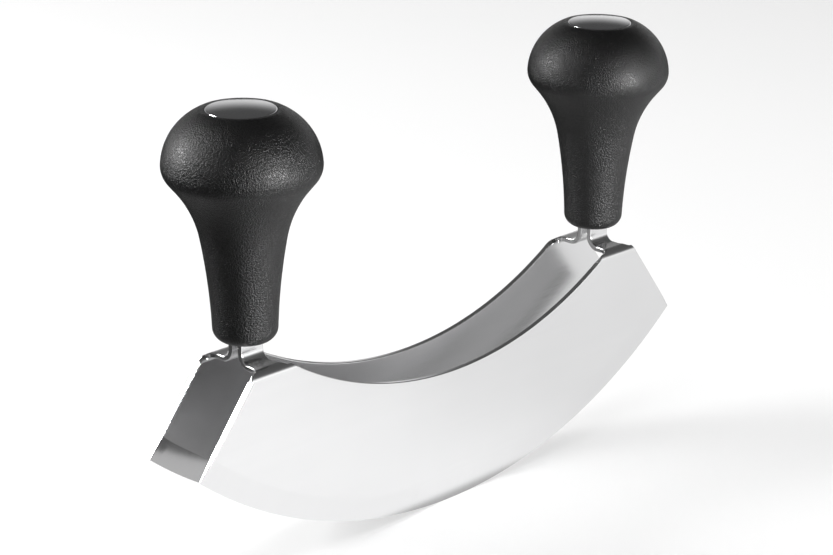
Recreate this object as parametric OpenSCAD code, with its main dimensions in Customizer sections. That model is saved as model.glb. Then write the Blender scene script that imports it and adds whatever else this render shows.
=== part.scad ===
// Double mincing knife: two rocking blades held by two knob handles.
// X runs along the blades, Y across the pair and Z up, in millimetres.
// The lowest point of both cutting edges lies at z = 0.

/* [Blades] */
// Straight distance between the two lower corners of a blade
blade_chord = 180; // [150:1:210]
// Radius of the rocking cutting edge
edge_arc_r = 140; // [125:1:180]
// Radius of the hollow upper edge
top_arc_r = 108; // [100:1:130]
// Height of a blade at its middle
mid_width = 38; // [30:1:42]
// Thickness of the blade sheet
blade_t = 1.5; // [1.2:0.1:2]
// Distance between the middle planes of the two blades
blade_pitch = 19.5; // [17:0.5:26]
// Lean of the straight end edges, in degrees from upright
end_slant = 37.5; // [34:0.5:40]
// Width of the ground band along the cutting edge
bevel_w = 6.6; // [4:0.2:9]
// Width of the flat left on the cutting edge
edge_land = 0.2; // [0.1:0.05:0.4]

/* [Set-in shoulders] */
// Height at which the shoulders start to bend towards the middle
shoulder_z = 54.5; // [52:0.5:58]
// Slope of the set-in ledge, in degrees above level
ledge_tilt = 25; // [15:1:45]
// Bend radius at the blade, on the middle of the sheet
low_bend_r = 2; // [1.5:0.1:3]
// Bend radius at the tang, on the middle of the sheet
high_bend_r = 2.5; // [1.5:0.1:3]
// Radius of the flare from the tang to the shoulder, seen from above
flare_r = 8.4; // [8:0.1:9.5]
// Small step between the shoulder of the blade and the flare
shoulder_step = 0.3; // [0.2:0.1:0.5]

/* [Tangs] */
// Width of a tang
tang_w = 8; // [6:0.5:9]
// Distance between the middle planes of the two tangs of one handle
tang_pitch = 3.5; // [3.2:0.1:4.5]
// Length of a tang inside the handle
tang_len = 26; // [22:1:30]
// Chamfer on the top corners of a tang
tang_chamfer = 1; // [0.5:0.1:1.5]

/* [Handles] */
// Distance between the axes of the two handles
handle_pitch = 132; // [126:1:138]
// Height of a handle without its cap
handle_h = 59.5; // [58:0.5:66]
// Clear height between the bent shoulders and the handle
handle_gap = 0.4; // [0.3:0.1:3]
// Radius of the stem just above its rounded foot
foot_r = 8.3; // [7.5:0.1:9.5]
// Rounding of the foot
foot_round = 3.5; // [2:0.1:3.8]
// Slope of the stem's side at the foot, in degrees
foot_angle = 2; // [0:0.5:4]
// Radius of the long hollow curve of the stem
stem_arc_r = 160; // [120:5:200]
// Slope of the stem's side where the short curve starts, in degrees
stem_angle = 10.5; // [8:0.5:12]
// Radius of the short hollow curve below the knob
neck_arc_r = 28.5; // [22:0.5:32]
// Slope of the knob's underside, in degrees from upright
under_angle = 39.5; // [36:0.5:44]
// Largest radius of the knob
knob_r = 19.9; // [19:0.1:21]
// Rounding of the knob's rim
knob_edge_r = 6; // [4:0.5:7]
// Radius of the knob's domed top
crown_r = 15.7; // [15:0.1:19]
// Radius of the flat ring at the very top
rim_r = 10.2; // [9.8:0.1:11]

/* [Slot and bore in the handle] */
// Clearance between tangs and slot on each side
slot_fit = 0.1; // [0.05:0.05:0.3]
// Clearance round the stud in the handle's bore
bore_fit = 0.2; // [0.1:0.05:0.4]
// Depth of the nut pocket below the cap's recess
pocket_depth = 10.6; // [9.5:0.1:12]
// Depth of the cap's recess
recess_depth = 1; // [0.8:0.1:1.5]
// Clearance round the cap's disc and skirt
cap_fit = 0.05; // [0.03:0.01:0.1]

/* [Stud and rivets] */
// Diameter of the stud's shank
stud_d = 5; // [4:0.5:5.5]
// Width of the flat tongue between the tangs
tongue_w = 7.6; // [6:0.2:8]
// Height of the tongue's lower end above the handle's foot
tongue_start = 4; // [2:0.5:6]
// How far the stud stands out of the nut
stud_proud = 0.8; // [0.4:0.1:1.2]
// Diameter of a rivet's shank
rivet_d = 2.5; // [2:0.1:3]
// Diameter of a rivet's countersunk head
rivet_head_d = 4; // [3.6:0.1:5]
// Depth of a rivet's countersunk head
rivet_head_h = 0.6; // [0.4:0.1:0.8]
// Height of the lower rivet above the handle's foot
rivet_low = 8; // [7:0.5:10]
// Distance between the two rivets of a handle
rivet_pitch = 12; // [10:0.5:13]
// Clearance round a rivet
rivet_fit = 0.05; // [0.03:0.01:0.1]

/* [Nut and washer] */
// Width across the flats of the nut
nut_af = 8; // [7:0.5:9]
// Height of the nut
nut_h = 4; // [3:0.1:4.5]
// Outer diameter of the washer
washer_d = 10; // [8:0.5:12]
// Thickness of the washer
washer_t = 1; // [0.8:0.1:1.2]
// Clearance of the nut and the washer round the stud
nut_fit = 0.1; // [0.05:0.05:0.2]

/* [Caps] */
// Radius of the cap's disc
cap_r = 8.9; // [8.5:0.1:9.4]
// Height of the cap's rim above the handle
cap_proud = 0.2; // [0:0.1:0.4]
// Height of the dome above the cap's rim
cap_dome = 0.7; // [0.4:0.1:1.2]
// Rounding of the cap's rim
cap_round = 0.5; // [0.3:0.1:0.6]
// Outer radius of the skirt that holds the cap in the pocket
skirt_r = 6.2; // [6:0.1:7]
// Wall of the skirt
skirt_wall = 0.8; // [0.6:0.1:1]
// Length of the skirt below the disc
skirt_len = 4; // [3:0.2:4.4]

/* [Hidden] */
$fn = 128;

// Sides of the circles that shape a blade, fine enough for its large arcs
blade_fn = 720;

// Largest distance between the small curves of an outline and its points
arc_error = 0.003;
steel = "silver";
polished = "gainsboro";
black = [0.09, 0.09, 0.095];

// Extra length of a cutting tool past what it cuts
over = 1;

// Places of the sheet across the pair
blade_y = blade_pitch / 2;
blade_in_y = blade_y - blade_t / 2;
tang_y = tang_pitch / 2;
tang_in_y = tang_y - blade_t / 2;
tang_out_y = tang_y + blade_t / 2;
handle_x = handle_pitch / 2;

// Bend of the sheet: up the blade, in along the ledge, up the tang
function on_arc(c, r, a) = c + r * [cos(a), sin(a)];
function angle_of(v) = atan2(v[1], v[0]);

// Points along an arc, the first left out, in steps that stay within arc_error
function arc_points(c, r, a0, a1) =
    let (steps = ceil(abs(a1 - a0) / (2 * acos(1 - arc_error / r))))
    [for (i = [1:steps]) on_arc(c, r, a0 + (a1 - a0) * i / steps)];
turn = 90 - ledge_tilt;
low_c = [blade_y - low_bend_r, shoulder_z];
ledge_out = on_arc(low_c, low_bend_r, turn);
ledge_in_y = tang_y + high_bend_r * (1 - cos(turn));
ledge_in = [ledge_in_y, ledge_out[1] + (ledge_out[0] - ledge_in_y) * tan(ledge_tilt)];
high_c = on_arc(ledge_in, high_bend_r, turn);
bends_top = high_c[1];

// Heights of the handle and of what it holds
foot_z = bends_top + handle_gap;
tang_top = foot_z + tang_len;
rim_z = foot_z + handle_h;
recess_z = rim_z - recess_depth;
seat_z = recess_z - pocket_depth;
nut_z = seat_z + washer_t;
stud_top = nut_z + nut_h + stud_proud;

// Side view of a blade
edge_drop = edge_arc_r - sqrt(pow(edge_arc_r, 2) - pow(blade_chord / 2, 2));
flare_w = tang_w / 2 + flare_r - sqrt(pow(flare_r, 2) - pow(blade_in_y - tang_out_y, 2));
shoulder_out_x = handle_x + flare_w + shoulder_step;
shoulder_in_x = handle_x - flare_w - shoulder_step;
shoulder_out_z = edge_drop + (blade_chord / 2 - shoulder_out_x) / tan(end_slant);
end_low_x = blade_chord / 2 + (edge_drop + over) * tan(end_slant);

// Points where the curves of the handle's outline meet, as radius and height
foot_c = [foot_r - foot_round, foot_round];
foot_end = on_arc(foot_c, foot_round, -foot_angle);
stem_c = on_arc(foot_end, stem_arc_r, -foot_angle);
stem_end = on_arc(stem_c, stem_arc_r, 180 - stem_angle);
neck_c = on_arc(stem_end, neck_arc_r, -stem_angle);
neck_end = on_arc(neck_c, neck_arc_r, 180 - under_angle);
under_x = knob_r - knob_edge_r * (1 - cos(under_angle));
under_end = [under_x, neck_end[1] + (under_x - neck_end[0]) / tan(under_angle)];
edge_c = on_arc(under_end, knob_edge_r, 180 - under_angle);
rim_point = [rim_r, handle_h];

// Centre of the domed top, from its radius, the rim and the knob's edge
rim_run = norm(rim_point - edge_c);
rim_dir = (rim_point - edge_c) / rim_run;
crown_gap = crown_r - knob_edge_r;
crown_along = (pow(crown_gap, 2) - pow(crown_r, 2) + pow(rim_run, 2)) / (2 * rim_run);
crown_aside = sqrt(pow(crown_gap, 2) - pow(crown_along, 2));
crown_c = edge_c + crown_along * rim_dir + crown_aside * [-rim_dir[1], rim_dir[0]];
crown_start = crown_c + (edge_c - crown_c) * crown_r / crown_gap;

// Radius of the cap's dome
cap_flat_r = cap_r - cap_round;
cap_dome_r = (pow(cap_flat_r, 2) + pow(cap_dome, 2)) / (2 * cap_dome);

// The bent sheet seen along X, as distance across and height
module sheet_outline() {
    half = blade_t / 2;
    polygon(concat(
        [[blade_in_y, -over], [blade_in_y + blade_t, -over], [blade_in_y + blade_t, shoulder_z]],
        arc_points(low_c, low_bend_r + half, 0, turn),
        [on_arc(high_c, high_bend_r - half, 180 + turn)],
        arc_points(high_c, high_bend_r - half, 180 + turn, 180),
        [[tang_out_y, tang_top], [tang_in_y, tang_top], [tang_in_y, bends_top]],
        arc_points(high_c, high_bend_r + half, 180, 180 + turn),
        [on_arc(low_c, low_bend_r - half, turn)],
        arc_points(low_c, low_bend_r - half, turn, 0)
    ));
}

// The blade seen along Y: edge arc, slanted ends, hollow top and two tangs
module side_outline() {
    tang_x = handle_x + tang_w / 2;
    difference() {
        intersection() {
            translate([0, edge_arc_r])
            circle(edge_arc_r, $fn = blade_fn);
            polygon([
                [-end_low_x, -over],
                [end_low_x, -over],
                [shoulder_out_x, shoulder_out_z],
                [shoulder_out_x, tang_top - tang_chamfer],
                [tang_x, tang_top - tang_chamfer],
                [tang_x - tang_chamfer, tang_top],
                [-tang_x + tang_chamfer, tang_top],
                [-tang_x, tang_top - tang_chamfer],
                [-shoulder_out_x, tang_top - tang_chamfer],
                [-shoulder_out_x, shoulder_out_z]
            ]);
        }
        intersection() {
            translate([0, mid_width + top_arc_r])
            circle(top_arc_r, $fn = blade_fn);
            translate([-shoulder_in_x, 0])
            square([2 * shoulder_in_x, tang_top + over]);
        }
    }
}

// The blade seen from above: full length at the blade, flared to the tangs
module plan_outline() {
    flare_x = tang_w / 2 + flare_r;
    translate([-end_low_x, blade_in_y])
    square([2 * end_low_x, blade_t + over]);
    for (side = [-1, 1])
        translate([side * handle_x, 0]) {
            translate([-tang_w / 2, 0])
            square([tang_w, tang_out_y]);
            difference() {
                translate([-flare_x, tang_out_y])
                square([2 * flare_x, blade_in_y - tang_out_y]);
                for (flank = [-1, 1])
                    translate([flank * flare_x, tang_out_y])
                    circle(flare_r);
            }
        }
}

// Waste of the grinding on one face, above the middle plane of the sheet
module bevel_waste() {
    low = edge_land / 2;
    high = blade_t / 2 + over / 2;
    slope = bevel_w / (blade_t / 2 - low);
    translate([0, 0, low])
    difference() {
        cylinder(r = edge_arc_r + over, h = high - low, $fn = blade_fn);
        cylinder(r1 = edge_arc_r, r2 = edge_arc_r - slope * (high - low), h = high - low, $fn = blade_fn);
    }
}

// A rivet lying along Y through both tangs, grown by the clearance fit
module rivet_shape(fit) {
    half = tang_out_y;
    for (flank = [0, 180])
        rotate([0, 0, flank])
        rotate([-90, 0, 0]) {
            cylinder(d = rivet_d + 2 * fit, h = half);
            translate([0, 0, half - rivet_head_h])
            cylinder(d1 = rivet_d + 2 * fit, d2 = rivet_head_d + 2 * fit, h = rivet_head_h);
        }
}

// Centres of the two rivets of the handle on the given side
function rivet_at(side, n) = [side * handle_x, 0, foot_z + rivet_low + n * rivet_pitch];

// Blade on the +Y side; the other one is its mirror image
module blade() {
    difference() {
        intersection() {
            rotate([90, 0, 90])
            linear_extrude(height = 2 * end_low_x, center = true)
            sheet_outline();
            rotate([90, 0, 0])
            linear_extrude(height = 2 * blade_pitch, center = true)
            side_outline();
            translate([0, 0, -over])
            linear_extrude(height = tang_top + 2 * over)
            plan_outline();
        }
        for (flank = [0, 1])
            translate([0, blade_y, edge_arc_r])
            rotate([-90, 0, 0])
            mirror([0, 0, flank])
            bevel_waste();
        for (side = [-1, 1])
            for (n = [0, 1])
                translate(rivet_at(side, n))
                rivet_shape(rivet_fit);
    }
}

// Half outline of a handle, as radius and height above its foot
module handle_outline() {
    edge_top = angle_of(crown_start - crown_c);
    rim_angle = angle_of(rim_point - crown_c);
    polygon(concat(
        [[0, 0], [foot_c[0], 0]],
        arc_points(foot_c, foot_round, -90, -foot_angle),
        arc_points(stem_c, stem_arc_r, 180 - foot_angle, 180 - stem_angle),
        arc_points(neck_c, neck_arc_r, 180 - stem_angle, 180 - under_angle),
        arc_points(edge_c, knob_edge_r, -under_angle, edge_top),
        arc_points(crown_c, crown_r, edge_top, rim_angle),
        [[0, handle_h]]
    ));
}

// Handle with its slot, bore, nut pocket and cap recess, standing on z = 0
module handle() {
    slot = [tang_w + 2 * slot_fit, 2 * (tang_out_y + slot_fit)];
    difference() {
        rotate_extrude()
        handle_outline();
        translate([-slot[0] / 2, -slot[1] / 2, -over])
        cube([slot[0], slot[1], tang_len + over]);
        translate([0, 0, tang_len])
        cylinder(d = stud_d + 2 * bore_fit, h = handle_h);
        translate([0, 0, seat_z - foot_z])
        cylinder(r = skirt_r + cap_fit, h = handle_h);
        translate([0, 0, handle_h - recess_depth])
        cylinder(r = cap_r + cap_fit, h = handle_h);
    }
}

// Stud with its flat tongue between the tangs and its shank above them
module stud() {
    tongue_t = 2 * tang_in_y;
    difference() {
        union() {
            translate([-tongue_w / 2, -tongue_t / 2, foot_z + tongue_start])
            cube([tongue_w, tongue_t, tang_len - tongue_start]);
            translate([0, 0, tang_top])
            cylinder(d = stud_d, h = stud_top - tang_top);
        }
        for (n = [0, 1])
            translate([0, 0, rivet_at(1, n)[2]])
            rivet_shape(rivet_fit);
    }
}

module washer() {
    difference() {
        cylinder(d = washer_d, h = washer_t);
        translate([0, 0, -over])
        cylinder(d = stud_d + 2 * nut_fit, h = washer_t + 2 * over);
    }
}

module nut() {
    difference() {
        cylinder(d = nut_af / cos(30), h = nut_h, $fn = 6);
        translate([0, 0, -over])
        cylinder(d = stud_d + 2 * nut_fit, h = nut_h + 2 * over);
    }
}

// Cap: domed disc with a rounded rim, and a skirt below it, on z = 0
module cap() {
    rim_h = recess_depth + cap_proud;
    rotate_extrude()
    intersection() {
        translate([0, rim_h + cap_dome - cap_dome_r])
        circle(cap_dome_r, $fn = 512);
        union() {
            square([cap_r, rim_h - cap_round]);
            square([cap_flat_r, rim_h + cap_dome]);
            translate([cap_flat_r, rim_h - cap_round])
            circle(cap_round);
        }
    }
    translate([0, 0, -skirt_len])
    difference() {
        cylinder(r = skirt_r, h = skirt_len);
        translate([0, 0, -over])
        cylinder(r = skirt_r - skirt_wall, h = skirt_len + over);
    }
}

// Moves a piece on to the axis of the left (-1) or right (1) handle
module on_handle(side, z) {
    translate([side * handle_x, 0, z])
    children();
}

module front_blade() {
    color(steel)
    mirror([0, 1, 0])
    blade();
}

module rear_blade() {
    color(steel)
    blade();
}

module left_handle() {
    color(black)
    on_handle(-1, foot_z)
    handle();
}

module right_handle() {
    color(black)
    on_handle(1, foot_z)
    handle();
}

module left_stud() {
    color(steel)
    on_handle(-1, 0)
    stud();
}

module right_stud() {
    color(steel)
    on_handle(1, 0)
    stud();
}

module rivet(side, n) {
    color(steel)
    translate(rivet_at(side, n))
    rivet_shape(0);
}

module left_washer() {
    color(steel)
    on_handle(-1, seat_z)
    washer();
}

module right_washer() {
    color(steel)
    on_handle(1, seat_z)
    washer();
}

module left_nut() {
    color(steel)
    on_handle(-1, nut_z)
    nut();
}

module right_nut() {
    color(steel)
    on_handle(1, nut_z)
    nut();
}

module left_cap() {
    color(polished)
    on_handle(-1, recess_z)
    cap();
}

module right_cap() {
    color(polished)
    on_handle(1, recess_z)
    cap();
}

front_blade();
rear_blade();
left_handle();
right_handle();
left_stud();
right_stud();
rivet(-1, 0);  // left_lower_rivet
rivet(-1, 1);  // left_upper_rivet
rivet(1, 0);  // right_lower_rivet
rivet(1, 1);  // right_upper_rivet
left_washer();
right_washer();
left_nut();
right_nut();
left_cap();
right_cap();
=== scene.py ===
"""Double mincing knife with two rocking blades and two knob handles, dressed and lit."""

from math import acos, asin, atan2, ceil, cos, degrees, hypot, pi, radians, sin, sqrt, tan

import bmesh
import bpy
from bpy.props import FloatProperty, FloatVectorProperty, PointerProperty
from bpy.types import Operator, Panel, PropertyGroup
from mathutils import Matrix, Quaternion, Vector


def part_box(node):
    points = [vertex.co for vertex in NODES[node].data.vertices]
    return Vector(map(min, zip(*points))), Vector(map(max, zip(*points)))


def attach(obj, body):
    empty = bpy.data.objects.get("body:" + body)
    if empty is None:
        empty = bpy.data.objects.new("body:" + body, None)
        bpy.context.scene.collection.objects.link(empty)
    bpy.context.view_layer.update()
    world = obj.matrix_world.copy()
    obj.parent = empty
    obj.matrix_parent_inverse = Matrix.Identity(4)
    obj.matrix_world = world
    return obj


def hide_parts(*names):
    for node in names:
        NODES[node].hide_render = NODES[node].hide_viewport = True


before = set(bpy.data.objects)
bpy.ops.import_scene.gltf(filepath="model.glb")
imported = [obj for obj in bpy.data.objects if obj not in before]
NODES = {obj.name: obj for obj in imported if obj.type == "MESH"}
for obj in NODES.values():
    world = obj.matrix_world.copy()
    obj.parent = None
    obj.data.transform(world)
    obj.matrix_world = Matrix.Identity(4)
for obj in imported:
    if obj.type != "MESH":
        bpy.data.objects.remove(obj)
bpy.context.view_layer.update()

bl_info = {
    "name": "Double mincing knife",
    "version": (1, 0, 0),
    "blender": (4, 5, 0),
    "location": "3D View > Sidebar > Knife",
    "description": "Dresses a two-bladed mincing knife and sets it on a pale studio floor",
    "category": "Object",
}

SIDES = ("left", "right")
MM = 0.001


def node_size(node, axis):
    """Extent of a CAD node along one axis, in metres."""
    low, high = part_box(node)
    return high[axis] - low[axis]


def length(name, description, default):
    """A size in metres, shown with its unit."""
    return FloatProperty(name=name, description=description, default=default, unit="LENGTH", precision=5)


def share(name, description, default):
    """A number from nothing to one."""
    return FloatProperty(name=name, description=description, default=default, min=0, max=1, subtype="FACTOR")


def colour(name, description, default):
    """A linear colour."""
    return FloatVectorProperty(
        name=name, description=description, default=default, min=0, max=1, size=3, subtype="COLOR"
    )


def angle(name, description, default):
    """An angle, written in degrees."""
    return FloatProperty(name=name, description=description, default=radians(default), subtype="ANGLE")


class BladeShape(PropertyGroup):
    """Blank of a blade and the way its shoulders are bent."""

    chord: length("Blade length", "Straight distance between the lower corners", 180 * MM)
    edge_radius: length("Edge radius", "Radius of the rocking edge", 140 * MM)
    top_radius: length("Hollow radius", "Radius of the hollow top", 108 * MM)
    mid_width: length("Middle width", "Height of a blade at its middle", 38 * MM)
    end_slant: angle("End slant", "Slant of the blade's ends", 37.5)
    sheet: length("Sheet", "Thickness of the sheet", 1.5 * MM)
    pitch: length("Blade distance", "Distance between the middle planes of the blades", 19.5 * MM)
    band_width: length("Ground band", "Width of the ground band", 6.6 * MM)
    edge_land: length("Edge flat", "Flat left on the cutting edge", 0.2 * MM)
    edge_break: length("Rounded edge", "Width of the rounded edges of the sheet", 0.30 * MM)
    bend_height: length("Bend height", "Height at which a shoulder starts to bend", 54.1 * MM)
    low_bend: length("Lower bend", "Radius of the lower bend, on the middle of the sheet", 1.7 * MM)
    high_bend: length("Upper bend", "Radius of the upper bend, on the middle of the sheet", 3.3 * MM)
    handle_pitch: length("Handle distance", "Distance between the handles", 132 * MM)
    tang_pitch: length("Tang distance", "Distance between the middle planes of two tangs", 3.5 * MM)
    tang_width: length("Tang width", "Width of a tang", 7.4 * MM)
    tang_chamfer: length("Tang chamfer", "Chamfer on the top corners of a tang", 1 * MM)
    shoulder_line: length("Shoulder line", "Height of the shoulders on the flat blank", 55.7 * MM)
    neck_round: length("Neck rounding", "Rounding between a tang and its shoulders", 2.6 * MM)
    shoulder_round: length("Shoulder rounding", "Rounding of the shoulder's corners", 1.2 * MM)


class BladeFinish(PropertyGroup):
    """Sheet steel of the two blades."""

    steel: colour("Steel", "Colour of the rolled sheet", (0.86, 0.86, 0.865))
    sheen: share("Sheet roughness", "Roughness of the flat sides", 0.20)
    ground_sheen: share("Ground roughness", "Roughness of the ground band", 0.17)
    edge_radius: length("Edge radius", "Radius of the rocking edge", 140 * MM)
    band_width: length("Ground band", "Width of the ground band", 6.6 * MM)
    line_spacing: length("Line spacing", "Distance between the grinding lines", 0.25 * MM)
    middle: length("Blade middle", "Distance of a blade's middle plane from the tool's middle", 9.75 * MM)
    # Painted shade: darkens the colour of the ground band on the faces between the blades.
    painted_inner_shade: share("Inner shade", "How much darker the ground band is on the inner side", 0.5)


class HandleShape(PropertyGroup):
    """Outline of a handle, from the foot up."""

    foot_radius: length("Foot radius", "Radius just above the rounded foot", 8.3 * MM)
    foot_round: length("Foot rounding", "Rounding of the foot", 3.5 * MM)
    foot_angle: angle("Foot slope", "Slope of the stem at the foot", 2)
    stem_curve: length("Stem curve", "Radius of the long hollow curve", 160 * MM)
    stem_angle: angle("Stem slope", "Slope where the short curve starts", 10.5)
    neck_curve: length("Neck curve", "Radius of the short hollow curve", 28.5 * MM)
    under_angle: angle("Underside slope", "Slope of the knob's underside", 39.5)
    knob_radius: length("Knob radius", "Largest radius of the knob", node_size("left_handle", 0) / 2)
    edge_round: length("Knob rounding", "Rounding of the knob's rim", 6 * MM)
    crown_curve: length("Crown curve", "Radius of the domed top", 15.7 * MM)
    rim_radius: length("Rim radius", "Radius of the flat ring at the top", 10.2 * MM)
    recess_radius: length("Recess radius", "Radius of the cap's recess", 8.95 * MM)
    recess_depth: length("Recess depth", "Depth of the cap's recess", 1 * MM)
    pocket_radius: length("Pocket radius", "Radius of the nut pocket", 6.25 * MM)
    bore_radius: length("Bore radius", "Radius of the stud's bore", 2.7 * MM)
    slot_width: length("Slot width", "Width of the slot for the tangs", 8.2 * MM)
    slot_depth: length("Slot thickness", "Size of the slot across the tangs", 5.2 * MM)


class HandleFinish(PropertyGroup):
    """Black grained plastic of the handles."""

    plastic: colour("Plastic", "Colour of the plastic", (0.002, 0.002, 0.0021))
    polish: share("Roughness", "Roughness between the grains", 0.27)
    grain_size: length("Grain size", "Distance between the grains", 0.40 * MM)
    grain_depth: length("Grain depth", "Height of the grains", 0.08 * MM)


class CapFinish(PropertyGroup):
    """Polished caps and the plain fixings below them."""

    steel: colour("Cap steel", "Colour of the polished cap", (0.74, 0.74, 0.75))
    polish: share("Cap roughness", "Roughness of the polished cap", 0.12)
    fixing_steel: colour("Fixing steel", "Colour of studs, rivets, nuts and washers", (0.56, 0.56, 0.57))
    fixing_sheen: share("Fixing roughness", "Roughness of the fixings", 0.38)


class StageSettings(PropertyGroup):
    """Camera, floor and lamps."""

    camera_place: FloatVectorProperty(
        name="Camera place",
        description="Where the camera stands",
        default=(-406.39 * MM, -401.06 * MM, 266.33 * MM),
        subtype="TRANSLATION",
    )
    camera_heading: angle("Camera heading", "Direction of view from above, from +Y towards +X", 44.970)
    camera_dip: angle("Camera dip", "Downward slope of the view", 19.749)
    camera_roll: angle("Camera roll", "Turn of the picture, to the left", 0.415)
    camera_lens: FloatProperty(
        name="Focal length", description="Focal length in millimetres", default=97.264, unit="CAMERA"
    )
    floor_colour: colour("Floor", "Colour of the floor", (0.55, 0.55, 0.55))
    floor_lift: share("Floor lift", "Light that the camera sees the floor give off", 0.45)
    floor_shine: share("Floor shine", "Light that the steel sees the floor give off in front", 0.96)
    # Painted shade: the floor's glow seen in reflections under, between and behind the blades.
    back_shine: share("Back shine", "Light that the steel sees the floor give off between and behind the blades", 0.44)
    floor_dark: share("Dark floor", "How much of the lamps' light on the floor the steel doesn't see", 0.93)
    floor_size: length("Floor size", "Side of the floor", 12)
    left_wall: share("Left wall", "Strength of the light from the left", 0.30)
    right_wall: share("Right wall", "Strength of the light from the right", 1.0)
    ceiling_level: share("Ceiling level", "Strength of the light from the ceiling", 0.08)


class Value:
    """A shader value: wraps the socket that gives it, with arithmetic as nodes."""

    def __init__(self, tree, socket=None):
        self.tree = tree
        self.socket = socket

    def node(self, kind, inputs=(), output=0, **settings):
        """Adds a node: its settings first, then the values or links of its sockets."""
        added = self.tree.nodes.new(kind)
        stops = settings.pop("stops", None)
        for name, setting in settings.items():
            setattr(added, name, setting)
        if stops:
            ramp = added.color_ramp
            while len(ramp.elements) < len(stops):
                ramp.elements.new(1)
            for element, (place, tone) in zip(ramp.elements, stops):
                element.position = place
                element.color = (tone, tone, tone, 1) if isinstance(tone, (int, float)) else (*tone, 1)
        for key, value in dict(inputs).items():
            socket = added.inputs[key]
            if isinstance(value, Value):
                self.tree.links.new(value.socket, socket)
            elif hasattr(socket.default_value, "__len__") and len(socket.default_value) == 4:
                socket.default_value = (*value[:3], 1)
            else:
                socket.default_value = value
        return Value(self.tree, added.outputs[output] if added.outputs else None)

    def maths(self, operation, *values):
        """One Math node on these values."""
        return self.node("ShaderNodeMath", dict(enumerate(values)), operation=operation)

    def __add__(self, other):
        return self.maths("ADD", self, other)

    __radd__ = __add__

    def __sub__(self, other):
        return self.maths("SUBTRACT", self, other)

    def __rsub__(self, other):
        return self.maths("SUBTRACT", other, self)

    def __mul__(self, other):
        return self.maths("MULTIPLY", self, other)

    __rmul__ = __mul__

    def __truediv__(self, other):
        return self.maths("DIVIDE", self, other)

    def __pow__(self, other):
        return self.maths("POWER", self, other)

    def ramp(self, low, high, start=0.0, end=1.0):
        """Smooth step from start at low to end at high."""
        values = {"Value": self, "From Min": low, "From Max": high, "To Min": start, "To Max": end}
        return self.node("ShaderNodeMapRange", values, interpolation_type="SMOOTHSTEP")

    def split(self):
        """The three parts of a vector."""
        first = self.node("ShaderNodeSeparateXYZ", {0: self})
        return first, *(Value(self.tree, first.socket.node.outputs[i]) for i in (1, 2))

    def join(self, x, y, z):
        """A vector from three values."""
        return self.node("ShaderNodeCombineXYZ", {0: x, 1: y, 2: z})

    def noise(self, place, scale, detail=3.0, rough=0.5):
        """Noise from 0 to 1 at this place."""
        inputs = {"Vector": place, "Scale": scale, "Detail": detail, "Roughness": rough}
        return self.node("ShaderNodeTexNoise", inputs)

    def tint(self, low, high):
        """Colour between low and high, by this value from 0 to 1."""
        inputs = {"Factor": self, "A": low, "B": high}
        mixed = self.tree.nodes.new("ShaderNodeMix")
        mixed.data_type = "RGBA"
        self.tree.links.new(self.socket, mixed.inputs["Factor"])
        mixed.inputs[6].default_value = (*inputs["A"], 1)
        mixed.inputs[7].default_value = (*inputs["B"], 1)
        return Value(self.tree, mixed.outputs[2])


def new_material(name):
    """An empty material and the value that its nodes start from."""
    material = bpy.data.materials.new(name)
    material.use_nodes = True
    material.node_tree.nodes.clear()
    return material, Value(material.node_tree)


def finish_material(start, shader, **inputs):
    """Puts the shader on the material's output."""
    start.node("ShaderNodeOutputMaterial", {"Surface": shader, **inputs})


def object_place(start):
    """Coordinates on the object, in metres."""
    return start.node("ShaderNodeTexCoord", output=3)


def shade(tone, level):
    """A colour made lighter or darker."""
    return tuple(min(1.0, part * level) for part in tone[:3])


def blade_steel(finish):
    """Rolled sheet with faint lines along it, and a band ground across the edge, with painted shade on the band where
    it faces the other blade.
    """
    material, start = new_material("blade steel")
    place = object_place(start)
    x, y, z = place.split()
    rise = finish.edge_radius - z
    reach = (x * x + rise * rise) ** 0.5
    band_top = finish.edge_radius - finish.band_width
    band = reach.ramp(band_top - 0.05 * MM, band_top + 0.05 * MM)
    inside = start.maths("ABSOLUTE", y).ramp(finish.middle + 0.05 * MM, finish.middle - 0.05 * MM)
    lines = 1 / finish.line_spacing
    sheet_place = start.join(x * 12, y * 40, z * lines)
    sheet = start.noise(sheet_place, 1.0, 4.0, 0.6)
    turn = start.maths("ARCTAN2", x, rise)
    ground_place = start.join(turn * (finish.edge_radius * lines * 0.8), y * 40, reach * 60)
    ground = start.noise(ground_place, 1.0, 3.0, 0.6)
    cloud = start.noise(place, 35.0, 2.0, 0.5)
    grain = sheet * (1 - band) + ground * band
    # Painted shade: the ground band's colour is darker on the faces between the blades.
    painted_band_shade = 1 - finish.painted_inner_shade * band * inside
    base = (0.5 * grain + 0.5 * cloud).tint(shade(finish.steel, 0.94), shade(finish.steel, 1.05))
    base = base.node("ShaderNodeVectorMath", {0: base, 1: start.join(painted_band_shade, painted_band_shade, painted_band_shade)}, operation="MULTIPLY")
    sheet_rough = finish.sheen - 0.05 + 0.10 * sheet
    ground_rough = finish.ground_sheen - 0.06 + 0.12 * ground
    rough = sheet_rough * (1 - band) + ground_rough * band
    bump = start.node("ShaderNodeBump", {"Strength": 0.25, "Distance": 0.004 * MM, "Height": grain})
    inputs = {"Base Color": base, "Roughness": rough, "Metallic": 1.0, "Normal": bump}
    finish_material(start, start.node("ShaderNodeBsdfPrincipled", inputs))
    return material


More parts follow.
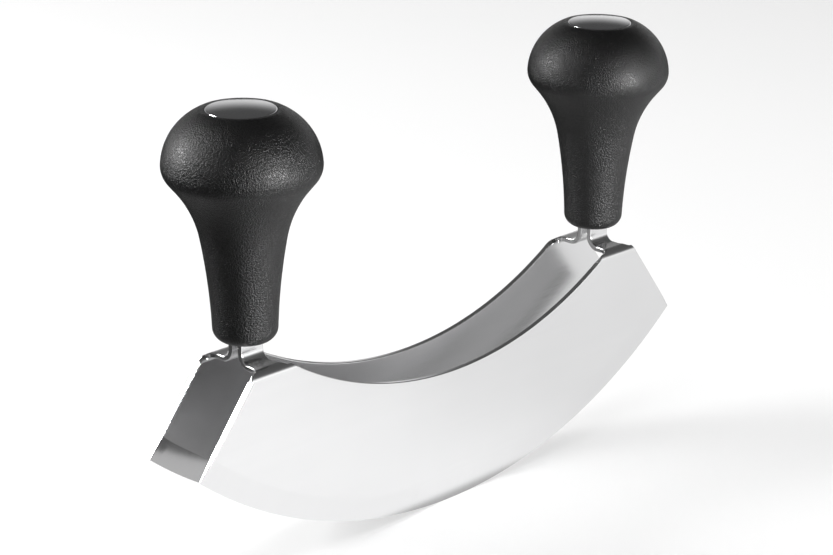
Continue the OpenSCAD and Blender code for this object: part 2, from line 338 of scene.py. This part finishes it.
def grained_plastic(finish):
    """Black plastic with a fine moulded grain, a little lighter on the grains."""
    material, start = new_material("grained black plastic")
    place = object_place(start)
    fine = start.noise(place, 1 / finish.grain_size, 3.0, 0.55)
    coarse = start.noise(place, 0.4 / finish.grain_size, 2.0, 0.5)
    cells = start.node("ShaderNodeTexVoronoi", {"Vector": place, "Scale": 0.8 / finish.grain_size})
    grain = (0.85 * fine + 0.15 * coarse).ramp(0.38, 0.62) * (1 - 0.3 * cells)
    base = grain.tint(shade(finish.plastic, 0.1), shade(finish.plastic, 2.2))
    rough = finish.polish + 0.14 * (1 - grain)
    bump = start.node("ShaderNodeBump", {"Strength": 1.0, "Distance": finish.grain_depth, "Height": grain})
    inputs = {"Base Color": base, "Roughness": rough, "Normal": bump, "Specular IOR Level": 0.45}
    finish_material(start, start.node("ShaderNodeBsdfPrincipled", inputs))
    return material


def polished_steel(finish):
    """Bright steel with a trace of buffing."""
    material, start = new_material("polished steel")
    place = object_place(start)
    buffing = start.noise(place, 2200.0, 3.0, 0.6)
    cloud = start.noise(place, 140.0, 2.0, 0.5)
    rough = finish.polish - 0.03 + 0.05 * buffing + 0.03 * cloud
    base = cloud.tint(shade(finish.steel, 0.97), shade(finish.steel, 1.03))
    inputs = {"Base Color": base, "Roughness": rough, "Metallic": 1.0}
    finish_material(start, start.node("ShaderNodeBsdfPrincipled", inputs))
    return material


def fixing_steel(finish):
    """Plain steel of the hidden fixings, with turning marks."""
    material, start = new_material("fixing steel")
    place = object_place(start)
    x, y, z = place.split()
    marks = start.noise(start.join(x * 200, y * 200, z * 5000), 1.0, 2.0, 0.5)
    base = marks.tint(shade(finish.fixing_steel, 0.85), shade(finish.fixing_steel, 1.08))
    rough = finish.fixing_sheen - 0.08 + 0.16 * marks
    inputs = {"Base Color": base, "Roughness": rough, "Metallic": 1.0}
    finish_material(start, start.node("ShaderNodeBsdfPrincipled", inputs))
    return material


def dress(node, material):
    """Gives a CAD node its finished material."""
    slots = NODES[node].data.materials
    slots.clear()
    slots.append(material)


class Outline:
    """A chain of vertices in the XZ plane, as radius and height, made end to end."""

    def __init__(self, bm, radius, height):
        self.bm = bm
        self.tip = bmesh.ops.create_vert(bm, co=(radius, 0, height))["vert"][0]

    def line(self, radius, height):
        """Straight on to this point."""
        made = bmesh.ops.extrude_vert_indiv(self.bm, verts=[self.tip])
        self.tip = made["verts"][0]
        self.tip.co = (radius, 0, height)

    def arc(self, centre, turn, steps):
        """On round this centre. A positive turn goes from the radius towards the height."""
        made = bmesh.ops.spin(
            self.bm, geom=[self.tip], cent=(centre[0], 0, centre[1]), axis=(0, -1, 0), angle=turn, steps=steps
        )
        self.tip = next(part for part in made["geom_last"] if isinstance(part, bmesh.types.BMVert))


def on_arc(centre, radius, direction):
    """Point on a circle, as radius and height."""
    return centre[0] + radius * cos(direction), centre[1] + radius * sin(direction)


def handle_outline(bm, shape, foot, top, slot_top, seat):
    """Outline of a handle from the middle of its foot to the slot's ceiling inside."""
    foot_c = shape.foot_radius - shape.foot_round, foot + shape.foot_round
    foot_end = on_arc(foot_c, shape.foot_round, -shape.foot_angle)
    stem_c = on_arc(foot_end, shape.stem_curve, -shape.foot_angle)
    stem_end = on_arc(stem_c, shape.stem_curve, pi - shape.stem_angle)
    neck_c = on_arc(stem_end, shape.neck_curve, -shape.stem_angle)
    neck_end = on_arc(neck_c, shape.neck_curve, pi - shape.under_angle)
    under_r = shape.knob_radius - shape.edge_round * (1 - cos(shape.under_angle))
    under_end = under_r, neck_end[1] + (under_r - neck_end[0]) / tan(shape.under_angle)
    edge_c = on_arc(under_end, shape.edge_round, pi - shape.under_angle)
    run_r, run_z = shape.rim_radius - edge_c[0], top - edge_c[1]
    run = hypot(run_r, run_z)
    gap = shape.crown_curve - shape.edge_round
    along = (gap**2 - shape.crown_curve**2 + run**2) / (2 * run)
    aside = sqrt(gap**2 - along**2)
    crown_c = (
        edge_c[0] + (along * run_r - aside * run_z) / run,
        edge_c[1] + (along * run_z + aside * run_r) / run,
    )
    crown_start = atan2(edge_c[1] - crown_c[1], edge_c[0] - crown_c[0])
    crown_end = atan2(top - crown_c[1], shape.rim_radius - crown_c[0])
    lip = 0.15 * MM

    outline = Outline(bm, 0, foot)
    outline.line(foot_c[0], foot)
    outline.arc(foot_c, pi / 2 - shape.foot_angle, 14)
    outline.arc(stem_c, shape.foot_angle - shape.stem_angle, 16)
    outline.arc(neck_c, shape.stem_angle - shape.under_angle, 16)
    outline.line(*under_end)
    outline.arc(edge_c, shape.under_angle + crown_start, 24)
    outline.arc(crown_c, crown_end - crown_start, 24)
    outline.line(shape.recess_radius + lip, top)
    outline.line(shape.recess_radius, top - lip)
    outline.line(shape.recess_radius, top - shape.recess_depth)
    outline.line(shape.pocket_radius, top - shape.recess_depth)
    outline.line(shape.pocket_radius, seat)
    outline.line(shape.bore_radius, seat)
    outline.line(shape.bore_radius, slot_top)
    outline.line(0, slot_top)


def new_piece(name, bm, material):
    """Turns a bmesh into a piece that rides on the tool."""
    mesh = bpy.data.meshes.new(name)
    bm.to_mesh(mesh)
    bm.free()
    mesh.materials.append(material)
    piece = bpy.data.objects.new(name, mesh)
    bpy.context.scene.collection.objects.link(piece)
    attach(piece, "root")
    return piece


def cut_away(piece, cutter_bm):
    """Cuts the shape of another bmesh out of a piece, and leaves a plain mesh."""
    cutter_mesh = bpy.data.meshes.new("cutter")
    cutter_bm.to_mesh(cutter_mesh)
    cutter_bm.free()
    cutter = bpy.data.objects.new("cutter", cutter_mesh)
    bpy.context.scene.collection.objects.link(cutter)
    cut = piece.modifiers.new("slot", "BOOLEAN")
    cut.operation = "DIFFERENCE"
    cut.solver = "EXACT"
    cut.object = cutter
    bpy.context.view_layer.update()
    shaped = piece.evaluated_get(bpy.context.evaluated_depsgraph_get())
    mesh = bpy.data.meshes.new_from_object(shaped)
    piece.modifiers.clear()
    piece.data = mesh
    bpy.data.objects.remove(cutter)
    bpy.data.meshes.remove(cutter_mesh)


def smooth(piece, limit=30):
    """Smooth faces, with a crease where they meet at more than the limit in degrees."""
    piece.data.shade_smooth()
    piece.data.set_sharp_from_angle(angle=radians(limit))


def handle_piece(side, shape, material):
    """One moulded handle, spun from its outline and slotted for the tangs."""
    node = f"{side}_handle"
    low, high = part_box(node)
    slot_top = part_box("rear_blade")[1][2]
    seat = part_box(f"{side}_washer")[0][2]
    middle = (low[0] + high[0]) / 2
    bm = bmesh.new()
    handle_outline(bm, shape, low[2], high[2], slot_top, seat)
    bmesh.ops.spin(
        bm, geom=bm.verts[:] + bm.edges[:], cent=(0, 0, 0), axis=(0, 0, 1),
        angle=2 * pi, steps=144, use_merge=True,
    )
    bmesh.ops.remove_doubles(bm, verts=bm.verts, dist=0.001 * MM)
    bmesh.ops.recalc_face_normals(bm, faces=bm.faces)
    bmesh.ops.translate(bm, verts=bm.verts, vec=(middle, 0, 0))
    piece = new_piece(f"{side}_grip", bm, material)

    below = 1 * MM
    slot = bmesh.new()
    bmesh.ops.create_cube(slot, size=1)
    bmesh.ops.scale(slot, verts=slot.verts, vec=(shape.slot_width, shape.slot_depth, slot_top - low[2] + below))
    slot_middle = (low[2] - below + slot_top) / 2
    bmesh.ops.translate(slot, verts=slot.verts, vec=(middle, 0, slot_middle))
    cut_away(piece, slot)
    smooth(piece)
    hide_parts(node)
    return piece


def slant_at(shape, radius):
    """Point where a slanted end meets a circle round the centre of the edge, as X and height."""
    low_x = shape.chord / 2
    low_z = shape.edge_radius - sqrt(shape.edge_radius**2 - low_x**2)
    run_x, run_z = -sin(shape.end_slant), cos(shape.end_slant)
    off_z = low_z - shape.edge_radius
    half = low_x * run_x + off_z * run_z
    step = -half - sqrt(half**2 - low_x**2 - off_z**2 + radius**2)
    return low_x + step * run_x, low_z + step * run_z


def blank_outline(bm, shape, top):
    """Flat blank above the ground band: arcs, slanted ends, shoulders and two tangs."""
    centre = 0, shape.edge_radius
    band_x, band_z = slant_at(shape, shape.edge_radius - shape.band_width)
    sweep = atan2(band_x, centre[1] - band_z)
    line = shape.shoulder_line
    hollow = 0, shape.mid_width + shape.top_radius
    inner_x = sqrt(shape.top_radius**2 - (hollow[1] - line) ** 2)
    outer_x = band_x - (line - band_z) * tan(shape.end_slant)
    middle = shape.handle_pitch / 2
    half = shape.tang_width / 2
    cut = shape.tang_chamfer
    neck = [
        (outer_x, line), (middle + half, line), (middle + half, top - cut), (middle + half - cut, top),
        (middle - half + cut, top), (middle - half, top - cut), (middle - half, line), (inner_x, line),
    ]
    outline = Outline(bm, -band_x, band_z)
    start = outline.tip
    outline.arc(centre, 2 * sweep, 120)
    for point in neck:
        outline.line(*point)
    outline.arc(hollow, -2 * atan2(inner_x, hollow[1] - line), 120)
    for x, z in neck[-2::-1]:
        outline.line(-x, z)
    bm.edges.new((outline.tip, start))
    bm.verts.ensure_lookup_table()
    bmesh.ops.contextual_create(bm, geom=bm.edges[:])
    return neck


def near(bm, points):
    """The vertices that lie at these points of the XZ plane, on either side."""
    return [
        vert for vert in bm.verts
        if any(hypot(abs(vert.co.x) - x, vert.co.z - z) < 0.001 * MM for x, z in points)
    ]


def bend_levels(shape):
    """Heights on the flat blank where the lower and the upper bend start and end."""
    low_end = shape.bend_height + shape.low_bend * pi / 2
    high_start = low_end + (shape.pitch - shape.tang_pitch) / 2 - shape.low_bend - shape.high_bend
    return shape.bend_height, low_end, high_start, high_start + shape.high_bend * pi / 2


def bent(shape, level, off):
    """Place across and height of a point of the blank, by its height on the blank and its side."""
    low_start, low_end, high_start, high_end = bend_levels(shape)
    ledge = low_start + shape.low_bend
    if level <= low_start:
        return off, level
    if level <= low_end:
        turn = (level - low_start) / shape.low_bend
        run = shape.low_bend + off
        return run * cos(turn) - shape.low_bend, low_start + run * sin(turn)
    if level <= high_start:
        return low_end - level - shape.low_bend, ledge + off
    across = low_end - high_start - shape.low_bend
    if level <= high_end:
        turn = (level - high_start) / shape.high_bend
        run = shape.high_bend - off
        return across - run * sin(turn), ledge + shape.high_bend - run * cos(turn)
    return across - shape.high_bend + off, ledge + shape.high_bend + level - high_end


def blade_piece(name, node, side, shape, material):
    """One blade: a flat blank, cut, thickened, ground and bent. Side is 1 for the rear blade."""
    low_start, low_end, high_start, high_end = bend_levels(shape)
    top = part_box(node)[1][2] + high_end - low_start - shape.low_bend - shape.high_bend
    bm = bmesh.new()
    neck = blank_outline(bm, shape, top)
    for corners, offset in ((neck[1:7:5], shape.neck_round), (neck[0:8:7], shape.shoulder_round)):
        bmesh.ops.bevel(
            bm, geom=near(bm, corners), offset=offset, segments=10, profile=0.5, affect="VERTICES", material=-1
        )

    centre = Vector((0, 0, shape.edge_radius))
    inner = shape.edge_radius - shape.band_width
    inner_x, inner_z = slant_at(shape, inner)
    outer_x, outer_z = slant_at(shape, shape.edge_radius)
    widen = atan2(outer_x, centre.z - outer_z) / atan2(inner_x, centre.z - inner_z)
    rim = [edge for edge in bm.edges if on_circle(edge, shape, shape.band_width)]
    band = bmesh.ops.extrude_edge_only(bm, edges=rim)["geom"]
    for vert in (part for part in band if isinstance(part, bmesh.types.BMVert)):
        swing = atan2(vert.co.x, centre.z - vert.co.z) * widen
        vert.co = centre + shape.edge_radius * Vector((sin(swing), 0, -cos(swing)))

    half = shape.sheet / 2
    bmesh.ops.translate(bm, verts=bm.verts, vec=(0, -half, 0))
    raised = bmesh.ops.extrude_face_region(bm, geom=bm.faces[:], use_keep_orig=True)["geom"]
    bmesh.ops.translate(
        bm, verts=[part for part in raised if isinstance(part, bmesh.types.BMVert)], vec=(0, shape.sheet, 0)
    )
    bmesh.ops.recalc_face_normals(bm, faces=bm.faces)
    sharp = [
        edge for edge in bm.edges
        if edge.calc_face_angle(0) > radians(60) and flat_edge(edge) and not on_circle(edge, shape, 0)
    ]
    rounded = bmesh.ops.bevel(
        bm, geom=sharp, offset=shape.edge_break, segments=4, profile=0.5, affect="EDGES", material=-1
    )["faces"]
    for edge in {edge for face in rounded for edge in face.edges}:
        edge.smooth = all(face in rounded for face in edge.link_faces)
    margin = 0.1 * MM
    low_cuts = [low_start + (low_end - low_start) * step / 12 for step in range(13)]
    high_cuts = [high_start + (high_end - high_start) * step / 16 for step in range(17)]
    for level in [low_start - margin, *low_cuts, *high_cuts, high_end + margin]:
        bmesh.ops.bisect_plane(
            bm, geom=bm.verts[:] + bm.edges[:] + bm.faces[:], dist=0.0001 * MM,
            plane_co=(0, 0, level), plane_no=(0, 0, 1),
        )
    land = shape.edge_land / 2
    for vert in bm.verts:
        past = hypot(vert.co.x, centre.z - vert.co.z) - inner
        ground = min(1, max(0, past / shape.band_width))
        off = vert.co.y * (1 - ground * (1 - land / half))
        across, height = bent(shape, vert.co.z, off)
        vert.co.y, vert.co.z = side * (shape.pitch / 2 + across), height
    bmesh.ops.recalc_face_normals(bm, faces=bm.faces)
    for face in bm.faces:
        face.smooth = True
    for edge in bm.edges:
        if on_circle(edge, shape, shape.band_width) or edge.calc_face_angle(0) > radians(30):
            edge.smooth = False
    piece = new_piece(name, bm, material)
    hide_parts(node)
    return piece


def on_circle(edge, shape, depth):
    """Whether both ends of an edge lie this deep within the circle of the cutting edge."""
    radius = shape.edge_radius - depth
    reaches = [hypot(vert.co.x, shape.edge_radius - vert.co.z) for vert in edge.verts]
    return all(abs(reach - radius) < 0.001 * MM for reach in reaches)


def flat_edge(edge):
    """Whether an edge runs in one side of the blank, not through its thickness."""
    first, second = edge.verts
    return abs(first.co.y - second.co.y) < 0.001 * MM


class KNIFE_OT_blades(Operator):
    """Cut, grind and bend both blades"""

    bl_idname = "knife.blades"
    bl_label = "Blades"

    def execute(self, context):
        material = blade_steel(context.scene.knife_blades)
        shape = context.scene.knife_blade_shape
        for name, side in (("front", -1), ("rear", 1)):
            dress(f"{name}_blade", material)
            blade_piece(f"{name}_sheet", f"{name}_blade", side, shape, material)
        return {"FINISHED"}


class KNIFE_OT_handles(Operator):
    """Spin both grained black handles"""

    bl_idname = "knife.handles"
    bl_label = "Handles"

    def execute(self, context):
        material = grained_plastic(context.scene.knife_handle_finish)
        for side in SIDES:
            dress(f"{side}_handle", material)
            handle_piece(side, context.scene.knife_handle_shape, material)
        return {"FINISHED"}


class KNIFE_OT_caps(Operator):
    """Polish both caps"""

    bl_idname = "knife.caps"
    bl_label = "Caps"

    def execute(self, context):
        material = polished_steel(context.scene.knife_caps)
        for side in SIDES:
            dress(f"{side}_cap", material)
        return {"FINISHED"}


class KNIFE_OT_fixings(Operator):
    """Finish the studs, rivets, washers and nuts inside the handles"""

    bl_idname = "knife.fixings"
    bl_label = "Fixings"

    def execute(self, context):
        material = fixing_steel(context.scene.knife_caps)
        for side in SIDES:
            for part in ("stud", "lower_rivet", "upper_rivet", "washer", "nut"):
                dress(f"{side}_{part}", material)
        return {"FINISHED"}


def studio_floor(stage):
    """Pale floor that keeps the shadow and looks white to the camera. In reflections it glows bright in front of the
    blades, with painted shade under, between and behind them and towards the left and right.
    """
    bm = bmesh.new()
    bmesh.ops.create_grid(bm, x_segments=1, y_segments=1, size=stage.floor_size / 2)
    mesh = bpy.data.meshes.new("floor")
    bm.to_mesh(mesh)
    bm.free()
    floor = bpy.data.objects.new("floor", mesh)
    bpy.context.scene.collection.objects.link(floor)
    material, start = new_material("studio floor")
    tone = tuple(stage.floor_colour)
    seen = start.node("ShaderNodeLightPath", output=0)
    mirrored = start.node("ShaderNodeLightPath", output=3)
    x, y, z = object_place(start).split()
    # Painted shade in the floor's reflection: dimmer under, between and behind the blades, and falling off beyond the
    # left end and towards the right.
    front = y.ramp(-10.5 * MM, -14 * MM)
    painted_shade_zone = (1 - front) * y.ramp(170 * MM, 60 * MM)
    left = x.ramp(-160 * MM, -60 * MM)
    right = x.ramp(-10 * MM, 90 * MM, 1.0, 0.82)
    shine = left * right * (front * stage.floor_shine + painted_shade_zone * stage.back_shine)
    lift = seen * stage.floor_lift + mirrored * shine
    dim = 1 - stage.floor_dark * mirrored
    matt = start.node("ShaderNodeBsdfDiffuse", {"Color": start.join(*(part * dim for part in tone))})
    glow = start.node("ShaderNodeEmission", {"Color": (1, 1, 1), "Strength": lift})
    finish_material(start, start.node("ShaderNodeAddShader", {0: matt, 1: glow}))
    mesh.materials.append(material)


def studio_sky(stage):
    """White to the camera, even light on the floor, and darker overhead in reflections."""
    world = bpy.data.worlds.new("studio")
    bpy.context.scene.world = world
    world.use_nodes = True
    world.node_tree.nodes.clear()
    start = Value(world.node_tree)
    x, y, height = start.node("ShaderNodeTexCoord", output=0).split()
    seen = start.node("ShaderNodeLightPath", output=0)
    wall = x.ramp(-0.8, 0.8, stage.left_wall, stage.right_wall) * y.ramp(0.4, 0.95, 1.0, 0.65)
    around = height.ramp(0.04, 0.42, wall, stage.ceiling_level)
    level = seen + (1 - seen) * around
    shine = start.node("ShaderNodeBackground", {"Color": (1, 1, 1), "Strength": level})
    start.node("ShaderNodeOutputWorld", {"Surface": shine})


def soft_lamp(name, place, aim, size, power, mirrored=True):
    """A square softbox that points at aim, seen in reflections or not."""
    lamp = bpy.data.lights.new(name, "AREA")
    lamp.shape = "RECTANGLE"
    lamp.size, lamp.size_y = size
    lamp.energy = power
    holder = bpy.data.objects.new(name, lamp)
    bpy.context.scene.collection.objects.link(holder)
    away = Vector(place) - Vector(aim)
    turn = away.to_track_quat("Z", "Y").to_matrix().to_4x4()
    holder.matrix_world = Matrix.Translation(place) @ turn
    holder.visible_camera = False
    holder.visible_glossy = mirrored


def studio_camera(stage):
    """Camera at the photograph's place and angle."""
    lens = bpy.data.cameras.new("camera")
    lens.lens = stage.camera_lens
    lens.sensor_width = 36
    lens.clip_end = 50
    camera = bpy.data.objects.new("camera", lens)
    bpy.context.scene.collection.objects.link(camera)
    heading, dip = stage.camera_heading, stage.camera_dip
    forward = Vector((sin(heading) * cos(dip), cos(heading) * cos(dip), -sin(dip)))
    turn = forward.to_track_quat("-Z", "Y") @ Quaternion((0, 0, 1), stage.camera_roll)
    camera.matrix_world = Matrix.Translation(stage.camera_place) @ turn.to_matrix().to_4x4()
    bpy.context.scene.camera = camera


class KNIFE_OT_stage(Operator):
    """Set the floor, the lamps and the camera"""

    bl_idname = "knife.stage"
    bl_label = "Stage"

    def execute(self, context):
        stage = context.scene.knife_stage
        context.scene.view_settings.view_transform = "Standard"
        studio_floor(stage)
        studio_sky(stage)
        knob = (0, 0, 90 * MM)
        soft_lamp("left softbox", (-0.64, 0.85, 0.44), knob, (0.45, 0.45), 15)
        soft_lamp("right softbox", (0.12, -1.09, 0.07), knob, (0.34, 0.34), 30)
        soft_lamp("top softbox", (-0.3, 0.1, 1.5), knob, (1.6, 1.6), 14, mirrored=False)
        studio_camera(stage)
        return {"FINISHED"}


class KNIFE_PT_tools(Panel):
    """Lists the pieces of the knife"""

    bl_idname = "KNIFE_PT_tools"
    bl_label = "Mincing knife"
    bl_space_type = "VIEW_3D"
    bl_region_type = "UI"
    bl_category = "Knife"

    def draw(self, context):
        for operator in OPERATORS:
            self.layout.operator(operator.bl_idname)


OPERATORS = (KNIFE_OT_blades, KNIFE_OT_handles, KNIFE_OT_caps, KNIFE_OT_fixings, KNIFE_OT_stage)
GROUPS = {
    "knife_blade_shape": BladeShape,
    "knife_blades": BladeFinish,
    "knife_handle_shape": HandleShape,
    "knife_handle_finish": HandleFinish,
    "knife_caps": CapFinish,
    "knife_stage": StageSettings,
}


def register():
    for group in (*GROUPS.values(), *OPERATORS, KNIFE_PT_tools):
        bpy.utils.register_class(group)
    for name, group in GROUPS.items():
        setattr(bpy.types.Scene, name, PointerProperty(type=group))


def unregister():
    for name in GROUPS:
        delattr(bpy.types.Scene, name)
    for group in (KNIFE_PT_tools, *OPERATORS, *GROUPS.values()):
        bpy.utils.unregister_class(group)


def main():
    register()
    bpy.ops.knife.blades()
    bpy.ops.knife.handles()
    bpy.ops.knife.caps()
    bpy.ops.knife.fixings()
    bpy.ops.knife.stage()


if __name__ == "__main__":
    main()
